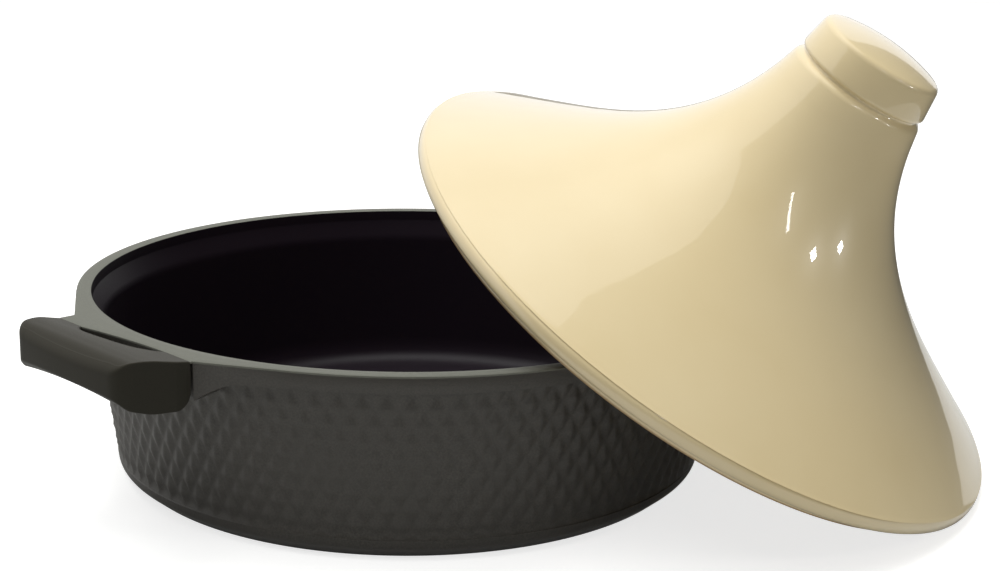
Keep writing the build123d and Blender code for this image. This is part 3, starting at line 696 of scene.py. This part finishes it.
def lining(pot):
    """Baked PTFE lining: almost black and satin, with a very fine pebble, drawn 0.9 mm wide so that it
    shows. The sheen is full on the floor and falls to little over the first few millimetres of the
    wall."""
    made, tree, shader, place = new_material("nonstick_lining")
    floor_gloss, wall_gloss = 1.0, 0.1
    pebble = noise(tree, place, 0.9, detail=1.0)
    set_inputs(shader, {"Base Color": (*pot.inside, 1.0)})
    height = node(tree, "ShaderNodeSeparateXYZ", {0: place}).outputs["Z"]
    gloss = node(tree, "ShaderNodeMapRange",
                 {0: height, 1: pot.floor, 2: 2 * pot.floor, 3: floor_gloss, 4: wall_gloss})
    tree.links.new(gloss.outputs[0], shader.inputs["Specular IOR Level"])
    vary_roughness(tree, shader, pebble, 0.36, 0.46)
    add_bump(tree, shader, pebble, 0.2, 0.1)
    return made


def machined_rim(pot):
    """Bare cast aluminium faced on a lathe and oxidised: a dull mid-grey with fine concentric tool lines
    about 0.4 mm apart. Its skin is mostly oxide, so it is only partly metallic."""
    made, tree, shader, place = new_material("machined_rim")
    lines = node(tree, "ShaderNodeTexNoise", {"W": axis_distance(tree, place), "Scale": per_metre(0.4)},
                 noise_dimensions="1D").outputs["Fac"]
    mix_colour(tree, shader, noise(tree, place, 1.5, detail=3.0), scaled(pot.rim, 0.8), (*pot.rim, 1.0))
    set_inputs(shader, {"Metallic": 0.2, "Specular IOR Level": 0.12,
                        "Specular Tint": (0.45, 0.45, 0.45, 1.0)})
    vary_roughness(tree, shader, lines, 0.45, 0.6)
    add_bump(tree, shader, lines, 0.3, 0.05)
    return made


def turned_base(pot):
    """Bare aluminium base turned flat on a lathe and worn grey: rings 1.2 mm apart."""
    made, tree, shader, place = new_material("turned_base")
    wave = node(tree, "ShaderNodeMath", {0: axis_distance(tree, place), 1: 2 * np.pi * per_metre(1.2)},
                operation="MULTIPLY")
    rings = node(tree, "ShaderNodeMath", {0: wave.outputs[0]}, operation="SINE")
    mix_colour(tree, shader, noise(tree, place, 6, detail=4.0), colour("#77766F"), colour("#A3A29B"))
    set_inputs(shader, {"Metallic": 1.0, "Roughness": 0.4})
    add_bump(tree, shader, rings.outputs[0], 0.5, 0.1)
    return made


def moulded_phenolic(grip):
    """Phenolic moulding with a spark-eroded satin: almost black and slightly warm, with a fine even grain,
    drawn 0.7 mm wide so that it shows."""
    made, tree, shader, place = new_material("moulded_phenolic")
    grain = noise(tree, place, 0.7)
    mix_colour(tree, shader, grain, scaled(grip.plastic, 0.85), (*grip.plastic, 1.0))
    set_inputs(shader, {"Specular IOR Level": 0.09})
    vary_roughness(tree, shader, grain, 0.42, 0.55)
    add_bump(tree, shader, grain, 0.25, 0.1)
    return made


def cream_glaze(lid):
    """Stoneware under a thick glossy cream glaze: warm and even, a little darker in slow clouds 60 mm wide,
    and with a ripple 40 mm long in its clear surface that bends the reflections."""
    made, tree, shader, place = new_material("cream_glaze")
    deep = (lid.glaze[0] * 0.9, lid.glaze[1] * 0.86, lid.glaze[2] * 0.76, 1.0)
    mix_colour(tree, shader, noise(tree, place, 60, detail=3.0), (*lid.glaze, 1.0), deep)
    set_inputs(shader, {"Roughness": 0.28, "Coat Weight": 1.0, "Coat Roughness": 0.03, "Coat IOR": 1.55})
    add_bump(tree, shader, noise(tree, place, 40), 0.5, 0.6, socket="Coat Normal")
    return made


def bare_stoneware(lid):
    """Fired buff clay wiped clean of glaze: dry and rough, with dark and light grog about 1 mm wide."""
    made, tree, shader, place = new_material("bare_stoneware")
    grog = noise(tree, place, 1.0, detail=5.0)
    mix_colour(tree, shader, grog, scaled(lid.body, 0.7), (*lid.body, 1.0))
    set_inputs(shader, {"Roughness": 0.85})
    add_bump(tree, shader, grog, 0.5, 0.2)
    return made


def plain_steel():
    """Stainless screw, cold formed: bright grey with a faint grain 0.3 mm wide."""
    made, tree, shader, place = new_material("plain_steel")
    mix_colour(tree, shader, noise(tree, place, 0.3), colour("#8C8C8A"), colour("#B9B9B6"))
    set_inputs(shader, {"Metallic": 1.0, "Roughness": 0.3})
    return made


class TAGINE_OT_pot(bpy.types.Operator):
    """Adds the cast pot: its shell, and its rim with the ears"""
    bl_idname = "tagine.pot"
    bl_label = "Pot"

    def execute(self, context):
        pot = context.scene.tagine_pot
        for made in (pot_shell(pot), pot_rim(pot)):
            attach(made, "pot")
            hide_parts("pot_body")
        return {"FINISHED"}


class TAGINE_OT_grips(bpy.types.Operator):
    """Adds the two moulded grips"""
    bl_idname = "tagine.grips"
    bl_label = "Grips"

    def execute(self, context):
        grip, pot = context.scene.tagine_grip, context.scene.tagine_pot
        for side, turn in (("right", 1), ("left", -1)):
            made = grip_piece(grip, pot, f"{side}_moulding", turn)
            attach(made, "pot")
            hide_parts(f"{side}_grip")
        return {"FINISHED"}


class TAGINE_OT_screws(bpy.types.Operator):
    """Gives the four grip screws their steel"""
    bl_idname = "tagine.screws"
    bl_label = "Screws"

    def execute(self, context):
        steel = plain_steel()
        for name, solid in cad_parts.items():
            if name.endswith("_screw"):
                solid.data.materials.clear()
                solid.data.materials.append(steel)
        return {"FINISHED"}


class TAGINE_OT_lid(bpy.types.Operator):
    """Adds the glazed lid where it leans on the pot"""
    bl_idname = "tagine.lid"
    bl_label = "Lid"

    def execute(self, context):
        made = lid_piece(context.scene.tagine_lid)
        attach(made, "lid")
        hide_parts("lid")
        return {"FINISHED"}


def area_lamp(stage, name, toward, distance, size, watts, glossy=True):
    """Rectangular lamp, size across and high, at a distance from the middle of the set in the direction
    given as azimuth and elevation in degrees, turned to the middle. Only a glossy lamp is seen in
    reflections."""
    azimuth, height = np.radians(toward)
    out = Vector((np.cos(height) * np.cos(azimuth), np.cos(height) * np.sin(azimuth), np.sin(height)))
    data = bpy.data.lights.new(name, "AREA")
    data.shape, data.size, data.size_y, data.energy = "RECTANGLE", *size, watts
    lamp = add_object(name, data)
    lamp.location = Vector(stage.middle) + distance * out
    lamp.rotation_euler = out.to_track_quat("Z", "Y").to_euler()
    lamp.visible_glossy = glossy


def add_lamps(stage):
    """Three soft lamps that light the set, and three small ones for the bright spots in the glaze."""
    soft = (stage.soft_size, stage.soft_size)
    area_lamp(stage, "key", (118, 66), stage.soft_distance, soft, stage.key, glossy=False)
    area_lamp(stage, "side", (-170, 60), stage.soft_distance, soft, stage.side, glossy=False)
    area_lamp(stage, "top", (60, 80), stage.soft_distance, soft, stage.top, glossy=False)
    area_lamp(stage, "spark_left", (-97, 34), stage.spark_distance, (0.36, 0.03), stage.spark)
    area_lamp(stage, "spark_middle", (-70, 22), stage.spark_distance, (0.08, 0.06), stage.spark)
    area_lamp(stage, "spark_right", (-60, 9), stage.spark_distance, (0.06, 0.05), stage.spark)


def dark_screen(stage):
    """Dark cloth on the floor and up a tall screen round the front and right of the set, as studios use. It
    only shows in gloss. It is a grid of three rings: two on the floor, and one at the screen's top."""
    columns, first, last = 40, -190, 8
    near, far, just_over, over, tall = 0.5, 1.7, 0.001, 0.002, 4.6
    turn = np.radians(np.linspace(first, last, columns))
    points = turned(np.array([[near], [far], [far]]), np.array([[just_over], [over], [tall]]), turn)
    low = np.arange(2 * columns).reshape(2, columns)[:, :-1].ravel()
    quads = np.stack([low, low + 1, low + columns + 1, low + columns], axis=1)
    mesh = bpy.data.meshes.new("dark_screen")
    mesh.from_pydata(points.reshape(-1, 3).tolist(), [], quads.tolist())
    made = add_object("dark_screen", mesh)
    material, tree, shader, _ = new_material("dark_cloth")
    set_inputs(shader, {"Base Color": (0.0, 0.0, 0.0, 1.0), "Specular IOR Level": 0.0,
                        "Emission Color": (1.0, 0.97, 0.92, 1.0), "Emission Strength": stage.screen})
    mesh.materials.append(material)
    made.visible_camera = made.visible_diffuse = made.visible_transmission = made.visible_shadow = False


def studio_floor(stage):
    """Flat pale floor. To the camera, and less so in gloss, it is lifted towards white and keeps the
    shadow."""
    half = 8.0
    corners = [(-half, -half, 0), (half, -half, 0), (half, half, 0), (-half, half, 0)]
    mesh = bpy.data.meshes.new("studio_floor")
    mesh.from_pydata(corners, [], [(0, 1, 2, 3)])
    made = add_object("studio_floor", mesh)
    material, tree, shader, _ = new_material("studio_floor")
    set_inputs(shader, {"Base Color": (*stage.floor, 1.0), "Roughness": 0.9, "Specular IOR Level": 0.1,
                        "Emission Color": (1.0, 1.0, 1.0, 1.0)})
    path = node(tree, "ShaderNodeLightPath")
    gloss = node(tree, "ShaderNodeMath", {0: path.outputs["Is Glossy Ray"], 1: stage.floor_gloss},
                 operation="MULTIPLY")
    lift = node(tree, "ShaderNodeMath",
                {0: path.outputs["Is Camera Ray"], 1: stage.floor_lift, 2: gloss.outputs[0]},
                operation="MULTIPLY_ADD")
    tree.links.new(lift.outputs[0], shader.inputs["Emission Strength"])
    mesh.materials.append(material)


def white_world(stage):
    """Surroundings that are white to the camera, through glass and in gloss, and that give only the ambient
    share of that as light."""
    world = bpy.data.worlds.new("studio")
    world.use_nodes = True
    tree = world.node_tree
    tree.nodes.clear()
    path = node(tree, "ShaderNodeLightPath").outputs
    seen = node(tree, "ShaderNodeMath", {0: path["Is Camera Ray"], 1: path["Is Transmission Ray"]},
                operation="MAXIMUM")
    shown = node(tree, "ShaderNodeMath", {0: seen.outputs[0], 1: path["Is Glossy Ray"]},
                 operation="MAXIMUM")
    white = node(tree, "ShaderNodeMapRange", {0: shown.outputs[0], 3: stage.ambient, 4: 1.0})
    glow = node(tree, "ShaderNodeBackground", {"Color": (1.0, 1.0, 1.0, 1.0), "Strength": white.outputs[0]})
    node(tree, "ShaderNodeOutputWorld", {"Surface": glow.outputs[0]})
    return world


def photo_camera(stage):
    """Camera that looks along the aim, with the picture's up side as near to the given one as it can be."""
    data = bpy.data.cameras.new("camera")
    data.sensor_width, data.sensor_fit, data.lens = 36.0, "HORIZONTAL", stage.lens
    data.clip_start = 0.05
    camera = add_object("camera", data)
    back = -Vector(stage.camera_aim).normalized()
    side = Vector(stage.camera_up).cross(back).normalized()
    turn = Matrix((side, back.cross(side), back)).transposed()
    camera.matrix_world = Matrix.Translation(stage.camera_place) @ turn.to_4x4()
    return camera


class TAGINE_OT_stage(bpy.types.Operator):
    """Adds the floor, the dark screen, the lamps, the light from all round and the camera"""
    bl_idname = "tagine.stage"
    bl_label = "Stage"

    def execute(self, context):
        stage, scene = context.scene.tagine_stage, context.scene
        studio_floor(stage)
        dark_screen(stage)
        add_lamps(stage)
        scene.world = white_world(stage)
        scene.camera = photo_camera(stage)
        scene.view_settings.view_transform = "Standard"
        return {"FINISHED"}


class TAGINE_PT_sidebar(bpy.types.Panel):
    """Sizes, colours and steps of the tagine"""
    bl_idname = "TAGINE_PT_sidebar"
    bl_label = "Tagine"
    bl_space_type = "VIEW_3D"
    bl_region_type = "UI"
    bl_category = "Tagine"

    def draw(self, context):
        for name, steps in GROUPS:
            settings = getattr(context.scene, name)
            box = self.layout.box()
            for step in steps:
                box.operator(step)
            for field in settings.bl_rna.properties.keys():
                if field not in ("rna_type", "name"):
                    box.prop(settings, field)


GROUPS = [("tagine_pot", ["tagine.pot"]), ("tagine_grip", ["tagine.grips", "tagine.screws"]),
          ("tagine_lid", ["tagine.lid"]), ("tagine_stage", ["tagine.stage"])]
SETTINGS = [PotSettings, GripSettings, LidSettings, StageSettings]
CLASSES = SETTINGS + [TAGINE_OT_pot, TAGINE_OT_grips, TAGINE_OT_screws, TAGINE_OT_lid, TAGINE_OT_stage,
                      TAGINE_PT_sidebar]


def register():
    for made in CLASSES:
        bpy.utils.register_class(made)
    for (name, _), settings in zip(GROUPS, SETTINGS):
        setattr(bpy.types.Scene, name, PointerProperty(type=settings))


def unregister():
    for name, _ in GROUPS:
        delattr(bpy.types.Scene, name)
    for made in reversed(CLASSES):
        bpy.utils.unregister_class(made)


def main():
    register()
    bpy.ops.tagine.pot()
    bpy.ops.tagine.grips()
    bpy.ops.tagine.screws()
    bpy.ops.tagine.lid()
    bpy.ops.tagine.stage()


if __name__ == "__main__":
    main()
